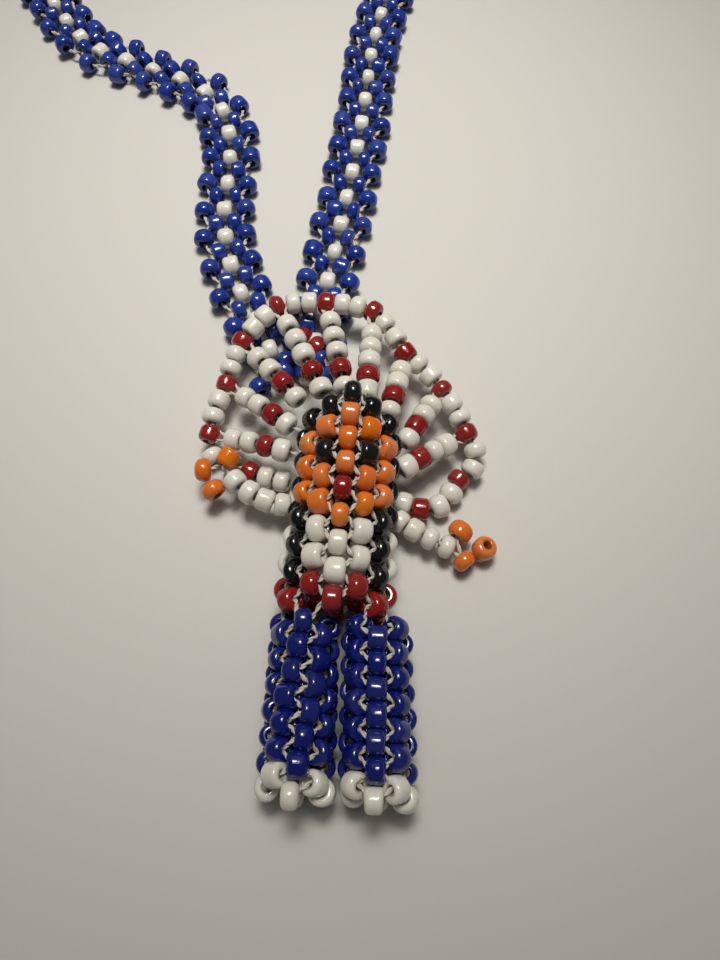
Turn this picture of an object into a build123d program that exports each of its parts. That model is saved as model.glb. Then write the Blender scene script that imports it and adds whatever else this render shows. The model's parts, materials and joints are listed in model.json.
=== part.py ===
from build123d import *
import math
import os

# A small figure woven from glass seed beads, lying on its back on the plane Z = 0.
# Up in the weave (towards the head) is +Y, the figure's front is +Z, and the origin
# is on the resting plane under the belt.

# ---------------------------------------------------------------- driving sizes
BODY_BEAD = 2.85         # outside diameter of the torso and head beads
BODY_LENGTH = 2.02       # length of a torso bead along its hole
HAIR_LENGTH = 1.9        # black beads are a little shorter
LEG_BEAD = 2.58          # outside diameter of the leg beads
LEG_LENGTH = 1.66        # length of a leg bead along its hole
NET_BEAD = 2.75          # outside diameter of the headdress and arm beads
NET_LENGTH = 1.9         # length of a headdress bead along its hole
BORE = 0.55              # radius of the hole through every bead
EDGE_ROUND = 0.62        # rounding of a bead's outer edge
HOLE_ROUND = 0.1         # rounding of the rim of the hole
THREAD = 0.18            # radius of the sewing thread
THREAD_OFFSET = 0.19     # two passes share a hole, each this far off its axis
THREAD_PROUD = 0.12      # thread is straight this far beyond a bead's end

ROW_PITCH = 3.1          # centre distance of two beads in one torso column
COLUMNS = 12             # columns around the torso
BELT_START_Y = -0.5      # centre of the lowest belt bead
LEAN = 0.05              # each row sits this far to the right of the one below
BELT_HALF_WIDTH = 5.6    # oval of bead centres at the belt
BELT_HALF_DEPTH = 3.9
HEAD_HALF_WIDTH = 4.95   # rounder oval of bead centres at the head
HEAD_HALF_DEPTH = 4.55
CROWN_SHRINK = 0.95      # top row draws in
CROWN_DROP = 0.12        # and sits a little lower than its full pitch
HEAD_ROW = 4.0           # first row of the full head section

LIFT = 0.02              # keeps rounded surfaces just above the resting plane
LEG_COLUMNS = 8
LEG_ROWS = 6             # blue beads in a column, one white foot bead below them
LEG_PITCH = 2.6
LEG_START_Y = -2.8       # centre of the highest leg bead
LEG_TOP_HALF_WIDTH = 2.6
LEG_TOP_HALF_DEPTH = 3.45
LEG_FOOT_HALF_WIDTH = 2.87
LEG_FOOT_HALF_DEPTH = 3.2

STRAP_WIDTH = 9.0        # flat daisy chain of the neck strap
STRAP_THICK = 2.7
STRAP_HEIGHT = 1.5       # its middle above the resting plane
COIL_CENTRE = (-32.0, 168.0)
COIL_OUTER = 52.0
COIL_INNER = 34.0

os.makedirs("parts", exist_ok=True)


# ------------------------------------------------------------------ small helpers
def bead(diameter, length):
    """One rounded glass bead, its hole along Z."""
    wall = diameter / 2 - BORE
    section = Plane.XZ * Pos(BORE + wall / 2, 0) * Rectangle(wall, length)
    section = fillet(section.vertices().sort_by(Axis.X)[2:], EDGE_ROUND)
    section = fillet(section.vertices().sort_by(Axis.X)[:2], HOLE_ROUND)
    return revolve(section, Axis.Z)


def placed(shape, centre, axis):
    """A copy of shape moved to centre with its Z axis turned to axis."""
    return Plane(origin=centre, z_dir=axis).location * shape


def thread_through(points):
    """A thread in short straight lengths from point to point, mitred at each bend."""
    path = Polyline(*points)
    return sweep(Plane(path @ 0, z_dir=path % 0) * Circle(THREAD), path, transition=Transition.RIGHT)


def write(name, solids):
    """One STEP file for one node; identical pieces stay separate solids in it."""
    shape = Compound(children=list(solids)) if len(solids) > 1 else solids[0]
    export_step(shape, f"parts/{name}.step")


def shifted(point, direction, distance):
    return tuple(p + distance * d for p, d in zip(point, direction))


def unit(vector):
    size = math.sqrt(sum(v * v for v in vector))
    return tuple(v / size for v in vector)


def between(start, end, share):
    return tuple(a + share * (b - a) for a, b in zip(start, end))


def oval(count, half_width, half_depth, phase=0.0):
    """Points equally spaced along an oval, from its top, with their tangents."""
    fine = 720
    angles = [2 * math.pi * i / fine for i in range(fine + 1)]
    curve = [(half_width * math.sin(a), half_depth * math.cos(a)) for a in angles]
    reach = [0.0]
    for a, b in zip(curve, curve[1:]):
        reach.append(reach[-1] + math.dist(a, b))
    places = []
    for k in range(count):
        wanted = ((k + phase) / count % 1.0) * reach[-1]
        i = max(j for j in range(fine) if reach[j] <= wanted + 1e-9)
        a, b = curve[i], curve[i + 1]
        share = (wanted - reach[i]) / math.dist(a, b)
        x, z = between(a, b, share)
        places.append((x, z, unit((b[0] - a[0], b[1] - a[1]))))
    return places


BODY = bead(BODY_BEAD, BODY_LENGTH)
HAIR = bead(BODY_BEAD, HAIR_LENGTH)
LEG = bead(LEG_BEAD, LEG_LENGTH)
NET = bead(NET_BEAD, NET_LENGTH)


# ----------------------------------------------------------------- torso and head
def torso_place(column, row):
    """Centre and axis of the bead in one column and row of the torso tube."""
    share = min(max(row / HEAD_ROW, 0.0), 1.0)
    width = BELT_HALF_WIDTH + share * (HEAD_HALF_WIDTH - BELT_HALF_WIDTH)
    depth = BELT_HALF_DEPTH + share * (HEAD_HALF_DEPTH - BELT_HALF_DEPTH)
    base = BODY_BEAD / 2 + LIFT + depth
    drop = 0.0
    if row > 7.2:
        width, depth, drop = width * CROWN_SHRINK, depth * CROWN_SHRINK, CROWN_DROP
    x, z, tangent = oval(COLUMNS, width, depth)[column]
    y = BELT_START_Y + row * ROW_PITCH - drop
    return (x + row * LEAN, y, base + z), (tangent[0], 0.0, tangent[1])


def torso_rows(column):
    """Rows of a column: whole rows in even columns, half rows in odd ones."""
    first = 0.5 if column % 2 else 0.0
    last = {0: 8, 1: 7.5, 2: 7, 3: 6.5, 4: 7, 5: 7.5, 6: 8}[min(column, COLUMNS - column)]
    rows = []
    row = first
    while row <= last:
        rows.append(row)
        row += 1.0
    return rows


def torso_kind(column, row):
    """Which group of beads a place in the torso and head belongs to."""
    side = min(column, COLUMNS - column)
    if row < 1.0:
        return "belt_beads"
    if side == 0:
        if row <= 2:
            return "chest_beads"
        return "mouth_bead" if row == 4 else "face_beads" if row <= 7 else "hair_beads"
    if side == 1:
        if row <= 2.5:
            return "chest_beads"
        if row == 5.5:
            return "left_eye_bead" if column > 6 else "right_eye_bead"
        return "face_beads" if row < 7 else "hair_beads"
    if side == 2:
        return "face_beads" if 4 <= row <= 6 else "hair_beads"
    return "back_beads" if row < 3 else "hair_beads"


def build_torso():
    groups = {}
    for column in range(COLUMNS):
        for row in torso_rows(column):
            kind = torso_kind(column, row)
            centre, axis = torso_place(column, row)
            shape = HAIR if kind == "hair_beads" else BODY
            groups.setdefault(kind, []).append(placed(shape, centre, axis))
    for kind, solids in groups.items():
        write(kind, solids)


def ring_thread(place, count, low_row, high_row, low_is_even, half_length):
    """Thread of one zigzag ring joining two half-row neighbours around a tube."""
    points = []
    reach = half_length + THREAD_PROUD
    for k in range(count):
        is_low = (k % 2 == 0) == low_is_even
        centre, axis = place(k, low_row if is_low else high_row)
        lift = THREAD_OFFSET if is_low else -THREAD_OFFSET
        middle = (centre[0], centre[1] + lift, centre[2])
        if k == 0:
            closing = [shifted(middle, axis, -reach), shifted(middle, axis, -0.3)]
            points += [middle, shifted(middle, axis, reach)]
        else:
            points += [shifted(middle, axis, -reach), shifted(middle, axis, reach)]
    return thread_through(points + closing)


def build_torso_thread():
    rings = []
    for step in range(13):
        low, high = step / 2, step / 2 + 0.5
        rings.append(
            ring_thread(torso_place, COLUMNS, low, high, step % 2 == 0, BODY_LENGTH / 2)
        )
    write("torso_thread", rings)


# --------------------------------------------------------------------------- legs
# sideways place of a leg's middle, how many columns it twists by, and which of its
# columns start half a bead lower (0 for the even ones, 1 for the odd ones)
LEFT_LEG = {"top_x": -2.95, "foot_x": -2.45, "twist": 1.0, "low": 1}
RIGHT_LEG = {"top_x": 5.0, "foot_x": 6.15, "twist": 0.15, "low": 0}


def leg_place(leg, column, row):
    """Centre and axis of a leg bead; row 0 is highest."""
    share = min(row / (LEG_ROWS + 0.5), 1.0)
    width = LEG_TOP_HALF_WIDTH + share * (LEG_FOOT_HALF_WIDTH - LEG_TOP_HALF_WIDTH)
    depth = LEG_TOP_HALF_DEPTH + share * (LEG_FOOT_HALF_DEPTH - LEG_TOP_HALF_DEPTH)
    middle = leg["top_x"] + share * (leg["foot_x"] - leg["top_x"])
    places = oval(LEG_COLUMNS, width, depth, phase=-leg["twist"] * share)
    x, z, tangent = places[column]
    y = LEG_START_Y - row * LEG_PITCH
    return (middle + x, y, LEG_BEAD / 2 + LIFT + depth + z), (tangent[0], 0.0, tangent[1])


def build_leg(side, leg):
    blue, white = [], []
    for column in range(LEG_COLUMNS):
        first = 0.5 if column % 2 == leg["low"] else 0.0
        for k in range(LEG_ROWS + 1):
            centre, axis = leg_place(leg, column, first + k)
            (blue if k < LEG_ROWS else white).append(placed(LEG, centre, axis))
    write(f"{side}_leg_beads", blue)
    write(f"{side}_foot_beads", white)

    def down(column, row):
        return leg_place(leg, column, row)

    rings = []
    for step in range(2 * LEG_ROWS + 1):
        high, low = step / 2, step / 2 + 0.5
        rings.append(
            ring_thread(down, LEG_COLUMNS, low, high, step % 2 == leg["low"], LEG_LENGTH / 2)
        )
    write(f"{side}_leg_thread", rings)


# ---------------------------------------------------- strings of beads in the open
def bow(start, middle, end, share):
    """Point of a smooth bow from start to end whose middle passes through middle."""
    pull = tuple(2 * m - (a + b) / 2 for a, m, b in zip(start, middle, end))
    first = between(start, pull, share)
    return between(first, between(pull, end, share), share)


def string_places(start, middle, end, count):
    """Centres and axes of count beads spread along a bow, first and last at its ends."""
    places = []
    for k in range(count):
        share = k / (count - 1)
        centre = bow(start, middle, end, share)
        ahead = bow(start, middle, end, share + 0.01)
        behind = bow(start, middle, end, share - 0.01)
        places.append((centre, unit(tuple(a - b for a, b in zip(ahead, behind)))))
    return places


def string_thread(places, ends):
    """Thread through a run of beads, with an extra point at either end."""
    points = [ends[0]]
    reach = NET_LENGTH / 2 + THREAD_PROUD
    for centre, axis in places:
        points.append(shifted(centre, axis, -0.6 * reach))
        points.append(shifted(centre, axis, 0.6 * reach))
    points.append(ends[1])
    return thread_through([p for p in points if p is not None])


# --------------------------------------------------------------------------- arms
LEFT_ARM = [(-7.3, 12.0, 3.6), (-10.45, 12.65, 4.1), (-13.3, 14.4, 4.2)]
LEFT_HAND = [
    ((-14.4, 17.1, 4.9), (0.45, 0.75, 0.1)),
    ((-17.5, 15.8, 3.9), (0.9, 0.1, -0.1)),
    ((-15.95, 13.4, 3.4), (0.6, -0.7, 0.0)),
]
RIGHT_ARM = [(7.0, 11.0, 3.0), (9.7, 9.6, 2.9), (12.75, 8.4, 2.4)]
RIGHT_HAND = [
    ((14.4, 10.45, 2.4), (0.6, 0.75, 0.0)),
    ((14.95, 6.9, 1.9), (0.65, -0.7, -0.1)),
    ((17.3, 8.6, 2.0), (0.25, 0.2, 0.93)),
]
ARM_BEADS = 4


def build_arm(side, arm, hand):
    places = string_places(*arm, ARM_BEADS)
    write(f"{side}_arm_beads", [placed(NET, *place) for place in places])
    write(f"{side}_hand_beads", [placed(NET, c, unit(a)) for c, a in hand])
    first, last = places[0], places[-1]
    start = shifted(first[0], first[1], -NET_LENGTH / 2 - 0.3)
    end = shifted(last[0], last[1], NET_LENGTH / 2 + 0.3)
    write(f"{side}_arm_thread", [string_thread(places, (start, end))])


# ---------------------------------------------------------------------- headdress
# Each spoke: its first bead at the head, the red rim bead it ends at, its bead count
# and the bare thread's length from its last bead's middle to the rim bead's middle.
SPOKES = {
    "A": ((-7.95, 18.6, 5.0), (-17.6, 21.0, 3.2), 4, 3.5),
    "B": ((-7.7, 22.0, 5.4), (-16.4, 28.2, 3.4), 4, 3.6),
    "C": ((-6.8, 25.3, 6.4), (-15.1, 34.6, 3.9), 4, 3.9),
    "D": ((-3.7, 26.2, 7.5), (-10.95, 40.1, 4.6), 5, 4.0),
    "E": ((-0.8, 26.4, 7.9), (-4.4, 40.85, 4.9), 5, 3.7),
    "F": ((2.0, 26.2, 7.5), (2.05, 39.9, 4.9), 5, 4.4),
    "G": ((5.0, 24.4, 6.2), (6.6, 33.9, 4.4), 4, 3.2),
    "H": ((7.45, 21.1, 5.2), (11.5, 29.15, 3.8), 4, 3.0),
    "I": ((7.5, 17.5, 5.0), (14.8, 23.25, 3.2), 4, 3.3),
}
RIM_BULGE = 0.35         # the rim bows outwards between its red beads
SECTIONS = {"left": "AB", "top": "CDEF", "right": "GHI"}
# rim spans by the section that carries their two white beads
SPANS = {"left": ["AB", "BC"], "top": ["CD", "DE", "EF"], "right": ["FG", "GH", "HI"]}
NET_CENTRE = (-1.0, 18.0, 4.0)
# tails that run from the rim ends back to the body
LEFT_TAIL = [
    (-17.25, 18.75, 1.7),
    (-14.6, 17.8, 1.6),
    (-12.2, 16.9, 1.6),
    (-10.1, 16.3, 1.6),
    (-8.0, 15.9, 1.6),
]
RIGHT_LOOP = [(16.1, 21.3, 2.6), (15.8, 18.95, 2.1)]
RIGHT_TURN = (14.1, 17.45, 1.9)
RIGHT_LOWER = [(13.2, 15.6, 1.7), (11.8, 13.85, 1.6)]
RIGHT_RED = (9.5, 13.35, 1.6)
RIGHT_INNER = (7.4, 13.95, 1.6)


def spoke_places(name):
    base, rim, count, bare = SPOKES[name]
    along = unit(tuple(b - a for a, b in zip(base, rim)))
    end = shifted(rim, along, -bare)
    middle = between(base, end, 0.5)
    return string_places(base, (middle[0], middle[1], middle[2] + 0.25), end, count)


def rim_axis(name):
    """Axis of a red rim bead: along the rim, from its neighbours."""
    names = "".join(SPOKES)
    here = names.index(name)
    before = SPOKES[names[max(here - 1, 0)]][1]
    after = SPOKES[names[min(here + 1, len(names) - 1)]][1]
    return unit(tuple(b - a for a, b in zip(before, after)))


def span_places(pair):
    """The two white beads between two red rim beads."""
    start, end = SPOKES[pair[0]][1], SPOKES[pair[1]][1]
    middle = between(start, end, 0.5)
    outward = unit((middle[0] - NET_CENTRE[0], middle[1] - NET_CENTRE[1], 0.0))
    middle = shifted(middle, outward, RIM_BULGE)
    return string_places(start, middle, end, 4)[1:3]


def run_places(points):
    """Beads at given points, each turned along the run through its neighbours."""
    places = []
    for k, point in enumerate(points):
        before = points[max(k - 1, 0)]
        after = points[min(k + 1, len(points) - 1)]
        places.append((point, unit(tuple(b - a for a, b in zip(before, after)))))
    return places


def build_section(side):
    red, white, threads = [], [], []
    rim = []
    for pair in SPANS[side]:
        white += span_places(pair)
    for name in SECTIONS[side]:
        places = spoke_places(name)
        red.append(places[1])
        white += [p for k, p in enumerate(places) if k != 1]
        base, axis = places[0]
        junction = SPOKES[name][1]
        inner = shifted(base, axis, -NET_LENGTH / 2 - 0.2)
        outer = shifted(junction, axis, -NET_BEAD / 2 - 0.25)
        threads.append(string_thread(places, (inner, outer)))
        red.append((junction, rim_axis(name)))
    for pair in SPANS[side]:
        ends = [n for n in pair if n in SECTIONS[side]]
        run = span_places(pair)
        if pair[0] in ends:
            run = [(SPOKES[pair[0]][1], rim_axis(pair[0]))] + run
        rim += run
    last = SECTIONS[side][-1]
    if rim[-1][0] != SPOKES[last][1] and side != "left":
        rim.append((SPOKES[last][1], rim_axis(last)))
    if side == "right":
        run = [SPOKES["I"][1]] + RIGHT_LOOP + [RIGHT_TURN] + RIGHT_LOWER + [RIGHT_RED, RIGHT_INNER]
        loop = run_places(run)[1:]
        white += [p for k, p in enumerate(loop) if k not in (2, 5)]
        red += [loop[2], loop[5]]
        rim += loop
    threads.append(string_thread(rim, (None, None)))
    write(f"headdress_{side}_white_beads", [placed(NET, *p) for p in white])
    write(f"headdress_{side}_red_beads", [placed(NET, *p) for p in red])
    write(f"headdress_{side}_thread", threads)


def build_left_tail():
    """The run of beads from the left end of the rim back to the body."""
    tail = run_places([SPOKES["A"][1]] + LEFT_TAIL)[1:]
    white = [tail[0], tail[1], tail[3], tail[4]]
    write("headdress_tail_white_beads", [placed(NET, *p) for p in white])
    write("headdress_tail_red_bead", [placed(NET, *tail[2])])
    write("headdress_tail_thread", [string_thread(tail, (None, None))])


# --------------------------------------------------------- neck strap and its ends
STRAP_LEFT = [
    (-13.4, 38.9),
    (-18.0, 45.5),
    (-21.5, 57.0),
    (-21.8, 72.0),
    (-25.5, 82.5),
    (-37.0, 88.0),
    (-49.0, 92.0),
    (-57.0, 102.0),
    (-70.0, 122.0),
]
STRAP_RIGHT = [(-5.6, 40.0), (-4.4, 51.0), (-2.9, 67.0), (-1.9, 80.0), (-1.5, 100.0), (2.5, 119.0)]
ARC_SHARE = 0.45


def turn_radii(points):
    """Radius of the arc at each inner point, from the shorter run beside it."""
    radii = []
    for a, b, c in zip(points, points[1:], points[2:]):
        first = math.atan2(b[1] - a[1], b[0] - a[0])
        second = math.atan2(c[1] - b[1], c[0] - b[0])
        turn = abs((second - first + math.pi) % (2 * math.pi) - math.pi)
        run = min(math.dist(a, b), math.dist(b, c))
        radii.append(ARC_SHARE * run / math.tan(turn / 2))
    return radii


def build_strap(name, points):
    """A flat strap: straight runs joined by tangent arcs, lying on the plane."""
    radii = turn_radii(points)
    print(name, "arc radii", [round(r, 1) for r in radii])
    path = FilletPolyline(*[(x, y, STRAP_HEIGHT) for x, y in points], radius=radii)
    band = RectangleRounded(STRAP_WIDTH, STRAP_THICK, STRAP_THICK / 2 - 0.05)
    plane = Plane(origin=path @ 0, x_dir=(path % 0).cross(Vector(0, 0, 1)), z_dir=path % 0)
    strap = sweep(plane * band, path)
    expected = band.area * path.length
    print(name, "length", round(path.length, 1), "volume ratio", round(strap.volume / expected, 4))
    write(name, [strap])


def build_coil():
    """The strap's spare length, wound flat: one ring of its outer shape."""
    ring = Cylinder(COIL_OUTER, STRAP_THICK) - Cylinder(COIL_INNER, STRAP_THICK)
    write("neck_strap_coil", [Pos(*COIL_CENTRE, STRAP_HEIGHT) * ring])


JOIN_BEADS = [(-5.3, 35.6, 2.2), (-7.4, 36.9, 2.2)]
JOIN_START = (-1.4, 28.0, 2.6)
JOIN_END = (-10.0, 38.0, 1.9)


def build_join():
    """Two red beads where the strap's ends come together behind the head."""
    places = run_places(JOIN_BEADS)
    write("strap_join_beads", [placed(NET, *place) for place in places])
    write("strap_join_thread", [string_thread(places, (JOIN_START, JOIN_END))])


build_torso()
build_torso_thread()
build_leg("left", LEFT_LEG)
build_leg("right", RIGHT_LEG)
build_arm("left", LEFT_ARM, LEFT_HAND)
build_arm("right", RIGHT_ARM, RIGHT_HAND)
for section in SECTIONS:
    build_section(section)
build_left_tail()
build_strap("neck_strap_left", STRAP_LEFT)
build_strap("neck_strap_right", STRAP_RIGHT)
build_coil()
build_join()
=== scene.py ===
import json
import math
import random

import bpy
import numpy as np
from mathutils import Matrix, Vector


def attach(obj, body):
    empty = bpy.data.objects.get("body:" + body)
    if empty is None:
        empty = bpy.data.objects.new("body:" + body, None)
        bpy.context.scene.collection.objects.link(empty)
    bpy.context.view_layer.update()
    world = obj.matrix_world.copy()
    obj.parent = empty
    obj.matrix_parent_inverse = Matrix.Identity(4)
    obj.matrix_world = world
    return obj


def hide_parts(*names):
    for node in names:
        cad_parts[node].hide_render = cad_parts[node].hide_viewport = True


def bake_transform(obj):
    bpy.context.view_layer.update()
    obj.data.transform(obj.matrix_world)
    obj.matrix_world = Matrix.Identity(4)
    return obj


MM = 0.001
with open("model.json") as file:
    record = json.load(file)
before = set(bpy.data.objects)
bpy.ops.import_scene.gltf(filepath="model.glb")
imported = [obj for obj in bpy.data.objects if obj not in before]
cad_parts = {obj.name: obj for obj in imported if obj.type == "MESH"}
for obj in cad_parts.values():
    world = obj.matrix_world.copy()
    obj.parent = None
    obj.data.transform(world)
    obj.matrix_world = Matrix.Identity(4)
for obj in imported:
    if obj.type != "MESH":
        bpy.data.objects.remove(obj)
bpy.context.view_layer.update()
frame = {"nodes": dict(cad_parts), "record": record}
rng = random.Random(7)

# ------------------------------------------------------------------ main settings
CAMERA_AT = (4.2 * MM, -18.6 * MM, 85.0 * MM)
CAMERA_AZIMUTH = 3.9
CAMERA_ELEVATION = 67.0
CAMERA_LENS = 27.0

STRAP_HEIGHT = 1.5 * MM     # middle of the strap above the table
UNIT_PITCH = 5.2 * MM       # one white bead to the next along the strap
OUTER_OFFSET = 3.12 * MM    # outer blue beads from the middle of the strap
INNER_OFFSET = 1.42 * MM
THREAD_RADIUS = 0.25 * MM   # both plies together
PLY_TWIST = 2.4 * MM        # length of one full turn of the plies
PLY_OFFSET = 0.46           # of the thread's radius, from its middle to a ply's middle
PLY_RADIUS = 0.58           # of the thread's radius
THREAD_STEP = 0.16 * MM     # from one ring of a thread's mesh to the next
LIP = 0.24 * MM             # thread lies this far off a hole's middle, against its rim
THREAD_DEPTH = 0.7 * MM     # how far a thread runs on inside a bead's hole
RIM_IN = 0.1 * MM           # a thread bends over a rim from this far inside it
RIM_OUT = 0.05 * MM         # to this far outside it

# How far beads differ, as shares of a bead's own size.
WIDTH_SPREAD = (-0.035, 0.045)
LENGTH_SPREAD = (-0.09, 0.13)
ROUNDNESS = (0.62, 0.98)
TAPER = 0.05
AXIS_SWAY = 0.05
OVAL = 0.025
SKEW = 0.09
WOBBLE = 0.012
MOST_UNEVEN = 1.5           # beads set to vary more than this only tilt more
BEAD_BORE = 0.5 * MM
BEAD_TURNS = 28             # points round a bead
STRAP_TURNS = 24            # and round the smaller beads of the strap

# Growth in width and length over the plain CAD bead, and how much beads vary.
PLAIN_GROWTH = (1.02, 1.05, 1.0)
LEG_GROWTH = (1.05, 1.26, 1.0)
FOOT_GROWTH = (1.03, 1.2, 3.5)
FOOT_SHIFT = 0.35 * MM
WELD = 2e-7                 # corners nearer than this are one corner

LAMP_POWER = 0.075          # each of the four bars of the lamp
POOL_POWER = 7.6
SKY_POWER = 0.35
ROOM_STRENGTH = 0.08
LAMP_COLOUR = (1.0, 0.97, 0.91)
ROOM_COLOUR = (0.93, 0.92, 0.90)

LINEAR = {
    "orange": (0.76, 0.185, 0.004),
    "black": (0.004, 0.004, 0.0045),
    "red": (0.28, 0.006, 0.0035),
    "white": (0.79, 0.76, 0.69),
    "blue": (0.002, 0.010, 0.165),
    "strap_blue": (0.011, 0.040, 0.31),
    "thread": (0.66, 0.61, 0.54),
    "table": (0.66, 0.64, 0.60),
}


# ------------------------------------------------------------------------- camera
def make_camera():
    azimuth, elevation = math.radians(CAMERA_AZIMUTH), math.radians(CAMERA_ELEVATION)
    back = Vector((
        math.sin(azimuth) * math.cos(elevation),
        -math.cos(azimuth) * math.cos(elevation),
        math.sin(elevation),
    ))
    data = bpy.data.cameras.new("camera")
    data.sensor_width = 36.0
    data.lens = CAMERA_LENS
    data.clip_start = 0.005
    data.clip_end = 5.0
    camera = bpy.data.objects.new("camera", data)
    camera.location = CAMERA_AT
    camera.rotation_mode = "QUATERNION"
    camera.rotation_quaternion = (-back).to_track_quat("-Z", "Y")
    bpy.context.scene.collection.objects.link(camera)
    bpy.context.scene.camera = camera


make_camera()


# ----------------------------------------------------------------- strap's centreline
# The two stretches that are seen, in millimetres, and between them the spare length
# wound flat, one and a half turns, beyond the top of the picture.
STRAP_LEFT = [
    (-9.5, 30.5),
    (-13.4, 38.9),
    (-18.0, 45.5),
    (-21.5, 57.0),
    (-21.8, 72.0),
    (-25.5, 82.5),
    (-37.0, 88.0),
    (-49.0, 92.0),
    (-57.0, 102.0),
    (-70.0, 122.0),
    (-80.5, 146.0),
]
STRAP_RIGHT = [
    (2.5, 119.0),
    (-1.5, 100.0),
    (-1.9, 80.0),
    (-2.9, 67.0),
    (-4.4, 51.0),
    (-5.6, 40.0),
    (-6.3, 30.0),
]
COIL_CENTRE = (-32.0, 171.0)
COIL_FIRST = 50.0
COIL_LAST = 36.0
COIL_STEPS = 27
COIL_TURNS = 1.5
CROSSING = [        # over the strap's own start, with the height given too
    (4.3, 156.0, 2.6),
    (4.8, 146.0, 4.9),
    (4.6, 136.0, 4.9),
    (3.8, 127.0, 2.4),
]


def strap_control_points():
    """The whole route in millimetres, from the left of the head round to its right."""
    level = STRAP_HEIGHT / MM
    points = [(x, y, level) for x, y in STRAP_LEFT]
    for k in range(COIL_STEPS + 1):
        share = k / COIL_STEPS
        angle = math.pi - 2 * math.pi * COIL_TURNS * share
        radius = COIL_FIRST + share * (COIL_LAST - COIL_FIRST)
        x = COIL_CENTRE[0] + radius * math.cos(angle)
        y = COIL_CENTRE[1] + radius * math.sin(angle)
        points.append((x, y, level))
    points += CROSSING
    points += [(x, y, level) for x, y in STRAP_RIGHT]
    return points


def strap_centreline():
    """Evenly spaced points of the strap's middle, read from one NURBS curve."""
    control = strap_control_points()
    curve = bpy.data.curves.new("strap_route", "CURVE")
    curve.dimensions = "3D"
    curve.resolution_u = 24
    spline = curve.splines.new("NURBS")
    spline.points.add(len(control) - 1)
    for point, place in zip(spline.points, control):
        point.co = (place[0] * MM, place[1] * MM, place[2] * MM, 1.0)
    spline.order_u = 3
    spline.use_endpoint_u = True
    holder = bpy.data.objects.new("strap_route", curve)
    bpy.context.scene.collection.objects.link(holder)
    mesh = bpy.data.meshes.new_from_object(holder)
    line = np.array([v.co[:] for v in mesh.vertices])
    bpy.data.objects.remove(holder)
    return line


def lengths_along(line):
    """Distance from a line's first point to each of its points."""
    return np.r_[0.0, np.cumsum(np.linalg.norm(np.diff(line, axis=0), axis=1))]


def points_at(line, lengths, places):
    return np.stack([np.interp(places, lengths, line[:, k]) for k in range(3)], 1)


def walk(line, step):
    """Points a fixed step apart along a line, their directions and its length."""
    lengths = lengths_along(line)
    places = np.arange(0.0, lengths[-1], step)
    spots = points_at(line, lengths, places)
    ahead = points_at(line, lengths, places + step / 4)
    behind = points_at(line, lengths, places - step / 4)
    way = ahead - behind
    return spots, way / np.linalg.norm(way, axis=1)[:, None], float(lengths[-1])


# ------------------------------------------------------------------ mesh collecting
class Pile:
    """Vertices, faces and per-vertex values of many small shapes in one mesh."""

    def __init__(self):
        self.points = []
        self.faces = []
        self.tones = []
        self.hole_shades = []
        self.count = 0

    def add(self, points, faces, tone, hole_shades):
        self.points.append(points)
        self.faces.append(faces + self.count)
        self.tones.append(np.tile(tone, (len(points), 1)))
        self.hole_shades.append(hole_shades)
        self.count += len(points)

    def build(self, name, material):
        points, faces = np.concatenate(self.points), np.concatenate(self.faces)
        mesh = bpy.data.meshes.new(name)
        mesh.from_pydata(points.tolist(), [], faces.tolist())
        mesh.polygons.foreach_set("use_smooth", np.ones(len(faces), bool))
        tone = mesh.attributes.new("tone", "FLOAT_COLOR", "POINT")
        tones = np.concatenate(self.tones)
        tone.data.foreach_set("color", np.c_[tones, np.ones(len(tones))].ravel())
        # The hole attribute carries the painted shade, darkest round and inside each bead's hole.
        hole = mesh.attributes.new("hole", "FLOAT", "POINT")
        hole.data.foreach_set("value", np.concatenate(self.hole_shades))
        mesh.materials.append(material)
        mesh.update()
        made = bpy.data.objects.new(name, mesh)
        bpy.context.scene.collection.objects.link(made)
        return made


def grid_faces(rows, columns):
    """Quads of a tube made of rings of points, each ring closed on itself."""
    faces = []
    for i in range(rows - 1):
        here, there = i * columns, (i + 1) * columns
        for j in range(columns):
            k = (j + 1) % columns
            faces.append((here + j, here + k, there + k, there + j))
    return np.array(faces)


def side_axes(axis):
    """Two directions square to an axis."""
    other = np.array((0.0, 0.0, 1.0)) if abs(axis[2]) < 0.9 else np.array((1.0, 0.0, 0.0))
    first = np.cross(axis, other)
    first /= np.linalg.norm(first)
    return first, np.cross(axis, first)


# -------------------------------------------------------------------------- a bead
def bead_profile(radius, half, bore, roundness, lean):
    """Radius and place along the hole of one trip round a bead's section."""
    corner = min(roundness * (radius - bore) * 0.95, half * 0.96)
    lip = min(0.22 * (radius - bore), 0.3 * half)
    ring = []
    for k in range(8):
        a = math.pi / 2 * k / 7
        ring.append((radius - corner + corner * math.sin(a), half - corner + corner * math.cos(a)))
    bulge = 1.0 + 0.02 * roundness
    belly = [(radius * bulge, 0.0)]
    lower = [(r, -z) for r, z in reversed(ring)]
    inside = []
    for k in range(4):
        a = math.pi / 2 * k / 3
        inside.append((bore + lip - lip * math.sin(a), -(half - lip + lip * math.cos(a))))
    outer = ring + belly + lower
    inner = inside + [(r, -z) for r, z in reversed(inside)]
    section = outer + inner + [outer[0]]
    return [(r * (1 + lean * z / half), z) for r, z in section]


def random_step():
    """A step of up to one each way along the three axes."""
    return np.array([rng.uniform(-1, 1) for _ in range(3)])


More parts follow.
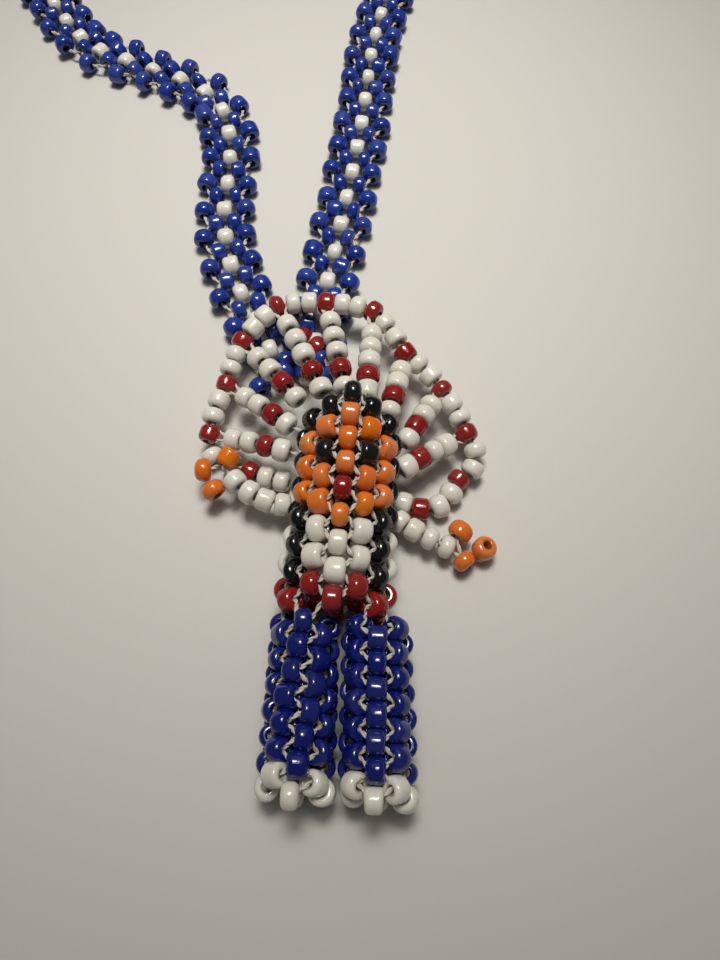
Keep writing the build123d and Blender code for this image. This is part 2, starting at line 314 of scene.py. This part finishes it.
def add_bead(pile, centre, axis, diameter, length, tone, turns=BEAD_TURNS, vary=1.0):
    """One slightly uneven glass bead, as hand-cut tube glass is."""
    uneven = min(vary, MOST_UNEVEN)
    bore = BEAD_BORE
    grow = 1 + uneven * rng.uniform(*WIDTH_SPREAD)
    stretch = 1 + uneven * rng.uniform(*LENGTH_SPREAD)
    roundness = rng.uniform(*ROUNDNESS)
    lean = uneven * rng.uniform(-TAPER, TAPER)
    radius, half = diameter / 2 * grow, length / 2 * stretch
    axis = np.array(axis) + vary * AXIS_SWAY * random_step()
    axis /= np.linalg.norm(axis)
    first, second = side_axes(axis)
    oval = 1 + uneven * rng.uniform(-OVAL, OVAL)
    skew = uneven * rng.uniform(-SKEW, SKEW)
    phase = rng.uniform(0, 2 * math.pi)
    profile = bead_profile(radius, half, bore, roundness, lean)
    angle = np.linspace(0, 2 * math.pi, turns, endpoint=False)
    points, hole_shades = [], []
    for r, z in profile:
        wobble = 1 + WOBBLE * np.sin(2 * angle + phase) * (r / radius)
        slanted = z * (1 + skew * np.cos(angle + phase) * r / radius)
        ring = np.outer(r * oval * wobble * np.cos(angle), first)
        ring += np.outer(r / oval * wobble * np.sin(angle), second)
        ring += np.outer(slanted, axis)
        points.append(ring + np.array(centre))
        # Painted shade: points near the hole get a weight that darkens them in the glass material.
        near = max(0.0, 1 - (r - bore) / (0.4 * (radius - bore)))
        hole_shades += [near] * turns
    pile.add(np.concatenate(points), grid_faces(len(profile), turns), tone, np.array(hole_shades))


def bead_tone():
    """Three shares that set one bead's shade against its batch."""
    return (rng.uniform(0, 1), rng.uniform(0, 1), rng.uniform(0, 1))


# ------------------------------------------------------------------------ a thread
def add_thread(pile, points, radius=THREAD_RADIUS, sides=7):
    """Two plies twisted round a smooth line through points."""
    points = np.array(points)
    lengths = lengths_along(points)
    count = max(5, int(lengths[-1] / THREAD_STEP))
    share = np.linspace(0, lengths[-1], count)
    line = points_at(points, lengths, share)
    for _ in range(3):
        line[1:-1] = 0.25 * line[:-2] + 0.5 * line[1:-1] + 0.25 * line[2:]
    way = np.gradient(line, axis=0)
    way /= np.linalg.norm(way, axis=1)[:, None]
    start = rng.uniform(0, 2 * math.pi)
    first, _ = side_axes(way[0])
    frames = []
    for w in way:
        first = first - w * np.dot(first, w)
        first /= np.linalg.norm(first)
        frames.append((first, np.cross(w, first)))
    tone = bead_tone()
    for ply in (0.0, math.pi):
        rings = []
        for k, (one, two) in enumerate(frames):
            turn = start + ply + 2 * math.pi * share[k] / PLY_TWIST
            aside = math.cos(turn) * one + math.sin(turn) * two
            middle = line[k] + PLY_OFFSET * radius * aside
            for j in range(sides):
                a = 2 * math.pi * j / sides
                out = math.cos(a) * one + math.sin(a) * two
                rings.append(middle + PLY_RADIUS * radius * out)
        pile.add(np.array(rings), grid_faces(count, sides), tone, np.zeros(count * sides))


# ------------------------------------------------------------------------ materials
def new_material(name):
    material = bpy.data.materials.new(name)
    material.use_nodes = True
    tree = material.node_tree
    shader = tree.nodes["Principled BSDF"]
    return material, tree, shader


def noise(tree, scale, detail=3.0, rough=0.5):
    place = tree.nodes.new("ShaderNodeTexCoord")
    made = tree.nodes.new("ShaderNodeTexNoise")
    made.inputs["Scale"].default_value = scale
    made.inputs["Detail"].default_value = detail
    made.inputs["Roughness"].default_value = rough
    tree.links.new(place.outputs["Object"], made.inputs["Vector"])
    return made.outputs["Fac"]


def spread(tree, value, low, high):
    made = tree.nodes.new("ShaderNodeMapRange")
    made.inputs["To Min"].default_value = low
    made.inputs["To Max"].default_value = high
    tree.links.new(value, made.inputs["Value"])
    return made.outputs["Result"]


def feed(tree, socket, value):
    """Set a socket to a number or colour, or link another node's output to it."""
    if hasattr(value, "links"):
        tree.links.new(value, socket)
    else:
        socket.default_value = value


def mix(tree, share, one, two):
    made = tree.nodes.new("ShaderNodeMix")
    made.data_type = "RGBA"
    feed(tree, made.inputs[0], share)
    feed(tree, made.inputs[6], one)
    feed(tree, made.inputs[7], two)
    return made.outputs[2]


def times(tree, one, two):
    made = tree.nodes.new("ShaderNodeMath")
    made.operation = "MULTIPLY"
    feed(tree, made.inputs[0], one)
    feed(tree, made.inputs[1], two)
    return made.outputs[0]


def add_bump(tree, shader, height, strength, distance):
    bump = tree.nodes.new("ShaderNodeBump")
    bump.inputs["Strength"].default_value = strength
    bump.inputs["Distance"].default_value = distance
    tree.links.new(height, bump.inputs["Height"])
    tree.links.new(bump.outputs["Normal"], shader.inputs["Normal"])


def glass(name, colour, deep, glow=0.0, rough=0.09, pale=0.12):
    """Opaque seed-bead glass: glossy, each bead its own tone, with painted shade making it darker
    round and inside the hole.
    """
    material, tree, shader = new_material(name)
    tone = tree.nodes.new("ShaderNodeAttribute")
    tone.attribute_name = "tone"
    parts = tree.nodes.new("ShaderNodeSeparateColor")
    tree.links.new(tone.outputs["Color"], parts.inputs["Color"])
    hole = tree.nodes.new("ShaderNodeAttribute")
    hole.attribute_name = "hole"
    lighter = tuple(c + pale * (1 - c) for c in colour)
    shade = mix(tree, spread(tree, parts.outputs[0], 0.0, 0.55), (*colour, 1), (*deep, 1))
    shade = mix(tree, spread(tree, parts.outputs[1], 0.0, 0.5), shade, (*lighter, 1))
    cloudy = spread(tree, noise(tree, 900.0, 4.0, 0.6), 0.0, 0.5)
    shade = mix(tree, times(tree, cloudy, 0.45), shade, (*deep, 1))
    # Painted shade: the glass is darkened round and inside the hole, where shade falls.
    hole_shade_colour = tuple(0.35 * c for c in deep)
    shade = mix(tree, times(tree, hole.outputs["Fac"], 0.55), shade, (*hole_shade_colour, 1))
    tree.links.new(shade, shader.inputs["Base Color"])
    worn = spread(tree, noise(tree, 2200.0, 3.0, 0.6), rough * 0.6, rough * 2.0)
    tree.links.new(worn, shader.inputs["Roughness"])
    shader.inputs["IOR"].default_value = 1.52
    shader.inputs["Coat Weight"].default_value = 0.35
    shader.inputs["Coat Roughness"].default_value = 0.04
    if glow:
        shader.inputs["Subsurface Weight"].default_value = glow
        shader.inputs["Subsurface Radius"].default_value = (1.0, 0.9, 0.75)
        shader.inputs["Subsurface Scale"].default_value = 0.0009
    add_bump(tree, shader, noise(tree, 700.0, 2.0, 0.5), 0.22, 0.06 * MM)
    return material


def thread_material():
    material, tree, shader = new_material("white_thread")
    soil = noise(tree, 500.0, 4.0, 0.6)
    pale = (*LINEAR["thread"], 1)
    grey = (0.36, 0.31, 0.26, 1)
    shade = mix(tree, spread(tree, soil, -0.25, 0.6), pale, grey)
    tree.links.new(shade, shader.inputs["Base Color"])
    shader.inputs["Roughness"].default_value = 0.62
    shader.inputs["Sheen Weight"].default_value = 0.25
    add_bump(tree, shader, noise(tree, 9000.0, 2.0, 0.7), 0.5, 0.03 * MM)
    return material


def table_material():
    material, tree, shader = new_material("table_top")
    broad = noise(tree, 9.0, 3.0, 0.5)
    fine = noise(tree, 1800.0, 5.0, 0.65)
    base = (*LINEAR["table"], 1)
    dull = tuple(0.93 * c for c in LINEAR["table"])
    shade = mix(tree, broad, base, (*dull, 1))
    grain = tuple(0.90 * c for c in LINEAR["table"])
    shade = mix(tree, spread(tree, fine, 0.0, 0.6), shade, (*grain, 1))
    tree.links.new(shade, shader.inputs["Base Color"])
    shader.inputs["Roughness"].default_value = 0.6
    add_bump(tree, shader, fine, 0.12, 0.08 * MM)
    return material


GLASS = {
    "orange_glass": glass("orange_glass", LINEAR["orange"], (0.64, 0.095, 0.003), glow=0.12),
    "black_glass": glass("black_glass", LINEAR["black"], (0.002, 0.002, 0.002), pale=0.01),
    "red_glass": glass("red_glass", LINEAR["red"], (0.20, 0.003, 0.004), pale=0.03),
    "white_glass": glass("white_glass", LINEAR["white"], (0.68, 0.64, 0.55), glow=0.35, rough=0.12),
    "blue_glass": glass("blue_glass", LINEAR["blue"], (0.002, 0.008, 0.12), pale=0.025),
}
STRAP_BLUE = glass("strap_blue_glass", LINEAR["strap_blue"], (0.006, 0.020, 0.17), pale=0.04)
THREAD = thread_material()


# -------------------------------------------------------- beads found in a CAD node
def islands(node):
    """Corner clouds of the separate solids in a CAD node."""
    mesh = frame["nodes"][node].data
    points = np.array([v.co[:] for v in mesh.vertices])
    _, first, same = np.unique(
        np.round(points / WELD).astype(np.int64), axis=0, return_index=True, return_inverse=True
    )
    same = same.ravel()
    label = np.arange(len(first))
    edges = np.array([e.vertices[:] for e in mesh.edges])
    edges = same[edges]
    while True:
        low = np.minimum(label[edges[:, 0]], label[edges[:, 1]])
        before = label.copy()
        np.minimum.at(label, edges[:, 0], low)
        np.minimum.at(label, edges[:, 1], low)
        label = label[label]
        if (before == label).all():
            break
    clean = points[first]
    return [clean[label == k] for k in np.unique(label)]


def beads_of(node):
    """Centre, axis, diameter and length of each bead of a CAD node."""
    found = []
    for cloud in islands(node):
        centre = (cloud.min(0) + cloud.max(0)) / 2
        away = cloud - centre
        far = np.linalg.norm(away, axis=1)
        lip = away[far < 1.03 * far.min()]
        _, _, ways = np.linalg.svd(lip, full_matrices=False)
        axis = ways[0]
        along = np.abs(away @ axis)
        out = np.linalg.norm(away - np.outer(away @ axis, axis), axis=1)
        found.append({
            "centre": centre,
            "axis": axis,
            "wide": 2 * out.max(),
            "long": 2 * along.max(),
            "node": node,
        })
    return sorted(found, key=lambda b: tuple(np.round(b["centre"], 6)))


SLOT_OF = {s["node"]: s["material_slot"] for s in frame["record"]["subparts"]}
BODY_OF = {n: b for b, ns in frame["record"]["behaviour"]["bodies"].items() for n in ns}
BEAD_NODES = [n for n in SLOT_OF if "bead" in n]
FOUND = {n: beads_of(n) for n in BEAD_NODES}


def build_beads(node):
    """The fine beads that stand for one CAD node's beads."""
    pile = Pile()
    for b in FOUND[node]:
        growth, centre = PLAIN_GROWTH, b["centre"]
        if "leg" in node:
            growth = LEG_GROWTH
        if "foot" in node:
            growth = FOOT_GROWTH
            centre = centre + random_step() * FOOT_SHIFT
        wide, long, vary = b["wide"] * growth[0], b["long"] * growth[1], growth[2]
        add_bead(pile, centre, b["axis"], wide, long, bead_tone(), vary=vary)
    made = pile.build("fine_" + node, GLASS[SLOT_OF[node]])
    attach(made, BODY_OF[node])
    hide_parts(node)


for node in BEAD_NODES:
    build_beads(node)


# ---------------------------------------------------------- thread between the beads
# How far apart two hole ends may be for thread to join them.
TUBE_REACH = 2.05 * MM
ARM_REACH = 2.3 * MM
NET_REACH = 1.75 * MM
TAIL_REACH = 2.2 * MM
RIM_REACH = 4.2 * MM        # from a spoke's end to the red rim beads
HIP_REACH = 2.9 * MM
SHOULDER_REACH = 3.0 * MM
HEAD_REACH = 3.2 * MM
TUBE_SHIFT = 0.16 * MM      # pulls a tube's stitches in towards each other
TOP_ROWS = 2.2 * MM         # the part of a leg, from its top, that is sewn to the belt
JOIN_FROM = (-1.6, 29.0, 2.8)


def ends_of(nodes):
    """Both hole ends of every bead: place, outward direction, which bead, its node."""
    ends = []
    for node in nodes:
        for b in FOUND[node]:
            for sign in (-1, 1):
                out = sign * b["axis"]
                ends.append((b["centre"] + out * b["long"] / 2, out, id(b), node))
    return ends


def lip_point(end, target):
    """Where thread leaves a hole: against the rim on the side of where it goes next."""
    place, out = end[0], end[1]
    way = target - place
    way = way - out * np.dot(way, out)
    size = np.linalg.norm(way)
    if size < 1e-7:
        return place
    return place + way / size * LIP


def stitch(pile, one, two, shift=0.0):
    """Thread from inside one bead's hole across to the next bead's hole."""
    across = two[0] - one[0]
    drop = across / max(np.linalg.norm(across), 1e-9) * shift
    a, b = lip_point(one, two[0]) + drop, lip_point(two, one[0]) - drop
    add_thread(pile, [
        one[0] - one[1] * THREAD_DEPTH,
        a - one[1] * RIM_IN,
        a + one[1] * RIM_OUT,
        b + two[1] * RIM_OUT,
        b - two[1] * RIM_IN,
        two[0] - two[1] * THREAD_DEPTH,
    ])


def join_neighbours(pile, ends, reach, facing, shift):
    """Stitches between hole ends that face each other; returns the ends left loose."""
    met = [0] * len(ends)
    for i in range(len(ends)):
        for j in range(i + 1, len(ends)):
            if ends[i][2] == ends[j][2]:
                continue
            gap = ends[j][0] - ends[i][0]
            far = np.linalg.norm(gap)
            if far > reach or far < 1e-7:
                continue
            if np.dot(gap, ends[i][1]) < facing * far:
                continue
            if np.dot(gap, ends[j][1]) > -facing * far:
                continue
            stitch(pile, ends[i], ends[j], shift)
            met[i] += 1
            met[j] += 1
    return [e for e, m in zip(ends, met) if m == 0]


def nearest(ends, place, count, reach):
    """The nearest few hole ends to a place, none of them past the reach."""
    ranked = sorted(ends, key=lambda e: np.linalg.norm(e[0] - place))
    return [e for e in ranked[:count] if np.linalg.norm(e[0] - place) < reach]


def finish_thread(pile, name, body, *stands_for):
    made = pile.build(name, THREAD)
    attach(made, body)
    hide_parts(*stands_for)


TORSO_NODES = [
    "face_beads", "left_eye_bead", "right_eye_bead", "mouth_bead",
    "hair_beads", "chest_beads", "back_beads", "belt_beads",
]
TORSO_ENDS = ends_of(TORSO_NODES)


def build_tube_thread(name, body, ends, stands_for):
    pile = Pile()
    join_neighbours(pile, ends, TUBE_REACH, 0.05, TUBE_SHIFT)
    finish_thread(pile, name, body, stands_for)


build_tube_thread("torso_stitches", "torso", TORSO_ENDS, "torso_thread")
for side in ("left", "right"):
    leg_ends = ends_of([f"{side}_leg_beads", f"{side}_foot_beads"])
    build_tube_thread(f"{side}_leg_stitches", f"{side}_leg", leg_ends, f"{side}_leg_thread")


def build_hip_thread(side):
    """Stitches from the belt across to the top of a leg."""
    pile = Pile()
    leg = ends_of([f"{side}_leg_beads"])
    belt = ends_of(["belt_beads"])
    top = max(e[0][1] for e in leg)
    for one in leg:
        if one[0][1] < top - TOP_ROWS:
            continue
        for two in nearest(belt, one[0], 1, HIP_REACH):
            stitch(pile, two, one)
    made = pile.build(f"{side}_hip_stitches", THREAD)
    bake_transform(made)


build_hip_thread("left")
build_hip_thread("right")


def build_arm_thread(side):
    """String of an arm and its hand, with the bare end tied to the body."""
    pile = Pile()
    ends = ends_of([f"{side}_arm_beads", f"{side}_hand_beads"])
    loose = join_neighbours(pile, ends, ARM_REACH, -0.15, 0.0)
    for end in loose:
        for other in nearest(TORSO_ENDS, end[0], 1, SHOULDER_REACH):
            stitch(pile, end, other)
    finish_thread(pile, f"{side}_arm_stitches", f"{side}_arm", f"{side}_arm_thread")


build_arm_thread("left")
build_arm_thread("right")


def build_headdress_thread(section):
    """Strings of the net, with each spoke's bare end tied to its red rim bead."""
    pile = Pile()
    body = f"headdress_{section}"
    ends = ends_of([f"{body}_white_beads", f"{body}_red_beads"])
    loose = join_neighbours(pile, ends, NET_REACH, 0.1, 0.0)
    reds = [e for e in ends if "red" in e[3]]
    for end in loose:
        base = nearest(TORSO_ENDS, end[0], 1, HEAD_REACH)
        if base:
            stitch(pile, end, base[0])
            continue
        others = [e for e in reds if e[2] != end[2] and np.dot(e[0] - end[0], end[1]) > 0]
        for other in nearest(others, end[0], 2, RIM_REACH):
            stitch(pile, end, other)
    finish_thread(pile, f"{body}_strings", body, f"{body}_thread")


for section in ("left", "top", "right"):
    build_headdress_thread(section)


def build_tail_thread():
    """String of the beads that run from the rim's left end back to the body."""
    pile = Pile()
    nodes = ["headdress_tail_white_beads", "headdress_tail_red_bead"]
    join_neighbours(pile, ends_of(nodes), TAIL_REACH, 0.0, 0.0)
    finish_thread(pile, "headdress_tail_string", "torso", "headdress_tail_thread")


def build_join_thread():
    """String of the two red beads behind the head."""
    pile = Pile()
    join_neighbours(pile, ends_of(["strap_join_beads"]), TAIL_REACH, 0.0, 0.0)
    first = FOUND["strap_join_beads"][-1]
    start = np.array(JOIN_FROM) * MM
    add_thread(pile, [start, first["centre"]])
    finish_thread(pile, "strap_join_string", "torso", "strap_join_thread")


build_tail_thread()
build_join_thread()


# ---------------------------------------------------------------------- neck strap
UP = np.array((0.0, 0.0, 1.0))
BLUE_WIDE, BLUE_LONG = 2.95 * MM, 2.15 * MM
INNER_WIDE, INNER_LONG = 2.65 * MM, 1.95 * MM
WHITE_WIDE, WHITE_LONG = 2.8 * MM, 2.1 * MM
WHITE_DROP = 0.08 * MM      # white beads sit this far under the strap's middle
BLUE_LIFT = 0.02 * MM
BLUE_LOWEST = 1.47 * MM     # keeps the edge beads from sinking into the table
INNER_LIFT = 0.16           # in millimetres, with a random amount on top


def outer_pair(pile, spot, way, side, across):
    """The blue edge beads on both sides of one white bead, and how each one lies."""
    laid = {}
    for sign in (-1, 1):
        sway = rng.uniform(-0.25, 0.25) * MM
        centre = spot + across * sign * (OUTER_OFFSET + rng.uniform(-0.15, 0.15) * MM)
        centre = centre + way * sway + UP * BLUE_LIFT
        centre[2] = max(centre[2], BLUE_LOWEST)
        turn = way + side * sign * rng.uniform(-0.22, 0.1)
        turn /= np.linalg.norm(turn)
        long = BLUE_LONG * rng.uniform(0.9, 1.1)
        add_bead(pile, centre, turn, BLUE_WIDE, long, bead_tone(), STRAP_TURNS)
        laid[sign] = (centre, turn, long)
    return laid


def inner_pair(pile, string, here, there, side, laid):
    """The blue beads between two white ones, each sewn to the edge beads beside it."""
    spot, way = here
    next_spot, next_way = there
    middle = (spot + next_spot) / 2
    for sign in (-1, 1):
        long = INNER_LONG * rng.uniform(0.88, 1.12)
        lift = (INNER_LIFT + rng.uniform(0, 0.18)) * MM
        centre = middle + side * sign * INNER_OFFSET + UP * lift
        lean = side + way * sign * rng.uniform(-0.28, 0.28) + UP * rng.uniform(-0.15, 0.15)
        lean /= np.linalg.norm(lean)
        add_bead(pile, centre, lean, INNER_WIDE, long, bead_tone(), STRAP_TURNS)
        end = (centre + lean * sign * long / 2, lean * sign)
        near, turn, reach = laid[sign]
        stitch(string, (near + turn * reach / 2, turn), end)
        far = next_spot + side * sign * OUTER_OFFSET - next_way * BLUE_LONG / 2
        stitch(string, (far, -next_way), end)


def build_strap():
    """The daisy chain, bead by bead along its route, its pieces all attached to the torso."""
    line = strap_centreline()
    spots, ways, _ = walk(line, UNIT_PITCH)
    outer, inner, white, string = Pile(), Pile(), Pile(), Pile()
    units = list(zip(spots, ways))
    for k, (spot, way) in enumerate(units):
        side = np.cross(way, UP)
        side /= np.linalg.norm(side)
        tilt = rng.uniform(-0.12, 0.12)
        across = side * math.cos(tilt) + UP * math.sin(tilt)
        low = spot - UP * WHITE_DROP
        add_bead(white, low, side, WHITE_WIDE, WHITE_LONG, bead_tone(), STRAP_TURNS)
        laid = outer_pair(outer, spot, way, side, across)
        if k + 1 < len(units):
            inner_pair(inner, string, units[k], units[k + 1], side, laid)
    first = outer.build("strap_outer_blue", STRAP_BLUE)
    pieces = [
        inner.build("strap_inner_blue", STRAP_BLUE),
        white.build("strap_white", GLASS["white_glass"]),
        string.build("strap_stitches", THREAD),
    ]
    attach(first, "torso")
    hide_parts("neck_strap_left", "neck_strap_right", "neck_strap_coil")
    for piece, slot in zip(pieces, ("strap_beads", "white_glass", "white_thread")):
        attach(piece, "torso")


build_strap()


# ------------------------------------------------------------------ floor and light
def build_table():
    mesh = bpy.data.meshes.new("table")
    half = 1.5
    corners = [(-half, -half, 0), (half, -half, 0), (half, half, 0), (-half, half, 0)]
    mesh.from_pydata(corners, [], [(0, 1, 2, 3)])
    mesh.materials.append(table_material())
    made = bpy.data.objects.new("table", mesh)
    bpy.context.scene.collection.objects.link(made)


def place_light(name, data, at, look):
    made = bpy.data.objects.new(name, data)
    made.location = at
    way = Vector(look) - Vector(at)
    made.rotation_mode = "QUATERNION"
    made.rotation_quaternion = way.to_track_quat("-Z", "Y")
    bpy.context.scene.collection.objects.link(made)


def area_light(name, at, look, wide, tall, power, colour):
    data = bpy.data.lights.new(name, "AREA")
    data.shape = "RECTANGLE"
    data.size = wide
    data.size_y = tall
    data.energy = power
    data.color = colour
    place_light(name, data, at, look)


def spot_light(name, at, look, angle, softness, power, colour):
    data = bpy.data.lights.new(name, "SPOT")
    data.spot_size = math.radians(angle)
    data.spot_blend = 1.0
    data.shadow_soft_size = softness
    data.energy = power
    data.color = colour
    place_light(name, data, at, look)


def build_lights():
    """A lamp seen as a small bright frame in every bead, with soft light round it."""
    centre = Vector((0.005, 0.10, 0.42))
    wide, deep, bar = 0.17, 0.12, 0.028
    bars = [
        (0, deep / 2, wide, bar),
        (0, -deep / 2, wide, bar),
        (wide / 2, 0, bar, deep),
        (-wide / 2, 0, bar, deep),
    ]
    for k, (x, y, w, t) in enumerate(bars):
        at = centre + Vector((x, y, 0))
        area_light(f"lamp_{k}", at, at - Vector((0, 0.1, 1)), w, t, LAMP_POWER, LAMP_COLOUR)
    spot_light("pool", (-0.01, 0.16, 0.44), (-0.01, 0.072, 0), 36, 0.075, POOL_POWER, LAMP_COLOUR)
    area_light("sky", (-0.05, 0.45, 0.60), (0, 0.05, 0), 0.7, 0.5, SKY_POWER, LAMP_COLOUR)
    world = bpy.data.worlds.new("room")
    bpy.context.scene.world = world
    world.use_nodes = True
    back = world.node_tree.nodes["Background"]
    back.inputs["Color"].default_value = (*ROOM_COLOUR, 1)
    back.inputs["Strength"].default_value = ROOM_STRENGTH


build_table()
build_lights()
bpy.context.scene.view_settings.view_transform = "Standard"
bpy.context.scene.view_settings.look = "None"
